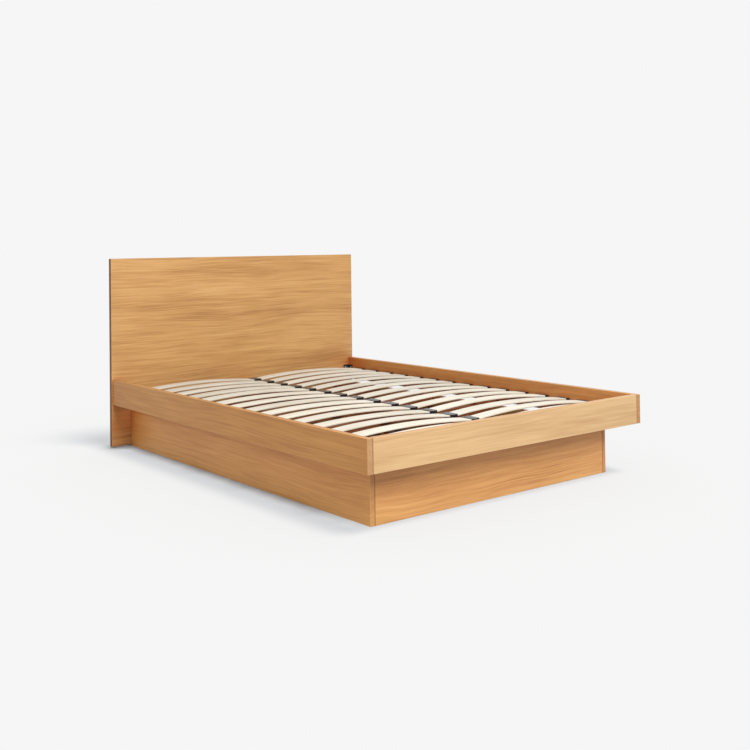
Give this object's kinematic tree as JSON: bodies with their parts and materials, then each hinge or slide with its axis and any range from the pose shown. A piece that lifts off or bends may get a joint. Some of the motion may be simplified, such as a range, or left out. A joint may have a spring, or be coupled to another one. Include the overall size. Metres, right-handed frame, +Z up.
{
  "type": "wooden bed frame",
  "caption": "Low wooden platform bed frame with a plain panel headboard, overhanging rails on a recessed plinth, and sprung slats on a centre rail.",
  "frame": {"origin": "on the floor, under the middle of the whole bed", "axes": "+Z up, +Y from the foot of the bed to the headboard, +X to the right seen from the foot"},
  "size_m": [1.612, 2.115, 0.99],
  "materials": {
    "honey_pine": "satin lacquer over honey-coloured solid pine",
    "inner_pine": "sealed reddish softwood, unseen inner parts",
    "birch_slat": "pale laminated birch, matt",
    "dowel_beech": "fluted beech dowel, raw",
    "holder_plastic": "moulded black plastic, fine texture",
    "glide_plastic": "moulded grey plastic",
    "bracket_steel": "black powder coat",
    "screw_steel": "bright zinc"
  },
  "bodies": {
    "root": {"headboard_panel": "honey_pine", "side_rail_left": "honey_pine", "side_rail_right": "honey_pine", "foot_rail": "honey_pine", "plinth_side_left": "honey_pine", "plinth_side_right": "honey_pine", "plinth_front": "honey_pine", "plinth_head": "honey_pine", "slat_ledge_left": "inner_pine", "slat_ledge_right": "inner_pine", "centre_rail": "inner_pine", "plinth_corner_blocks": "inner_pine", "cross_bearer_1": "inner_pine", "cross_bearer_2": "inner_pine", "cross_bearer_3": "inner_pine", "cross_bearer_4": "inner_pine", "centre_legs": "inner_pine", "rail_carriers": "inner_pine", "headboard_brackets": "bracket_steel", "foot_brackets": "bracket_steel", "bearer_brackets": "bracket_steel", "slat_holders_left": "holder_plastic", "slat_holders_right": "holder_plastic", "slat_holders_centre": "holder_plastic", "headboard_bolts": "screw_steel", "bracket_screws": "screw_steel", "frame_screws": "screw_steel", "centre_rail_screws": "screw_steel", "headboard_glides": "glide_plastic", "wooden_dowels": "dowel_beech", "slat_left_01": "birch_slat", "slat_left_02": "birch_slat", "slat_left_03": "birch_slat", "slat_left_04": "birch_slat", "slat_left_05": "birch_slat", "slat_left_06": "birch_slat", "slat_left_07": "birch_slat", "slat_left_08": "birch_slat", "slat_left_09": "birch_slat", "slat_left_10": "birch_slat", "slat_left_11": "birch_slat", "slat_left_12": "birch_slat", "slat_left_13": "birch_slat", "slat_left_14": "birch_slat", "slat_left_15": "birch_slat", "slat_right_01": "birch_slat", "slat_right_02": "birch_slat", "slat_right_03": "birch_slat", "slat_right_04": "birch_slat", "slat_right_05": "birch_slat", "slat_right_06": "birch_slat", "slat_right_07": "birch_slat", "slat_right_08": "birch_slat", "slat_right_09": "birch_slat", "slat_right_10": "birch_slat", "slat_right_11": "birch_slat", "slat_right_12": "birch_slat", "slat_right_13": "birch_slat", "slat_right_14": "birch_slat", "slat_right_15": "birch_slat"}
  },
  "joints": []
}
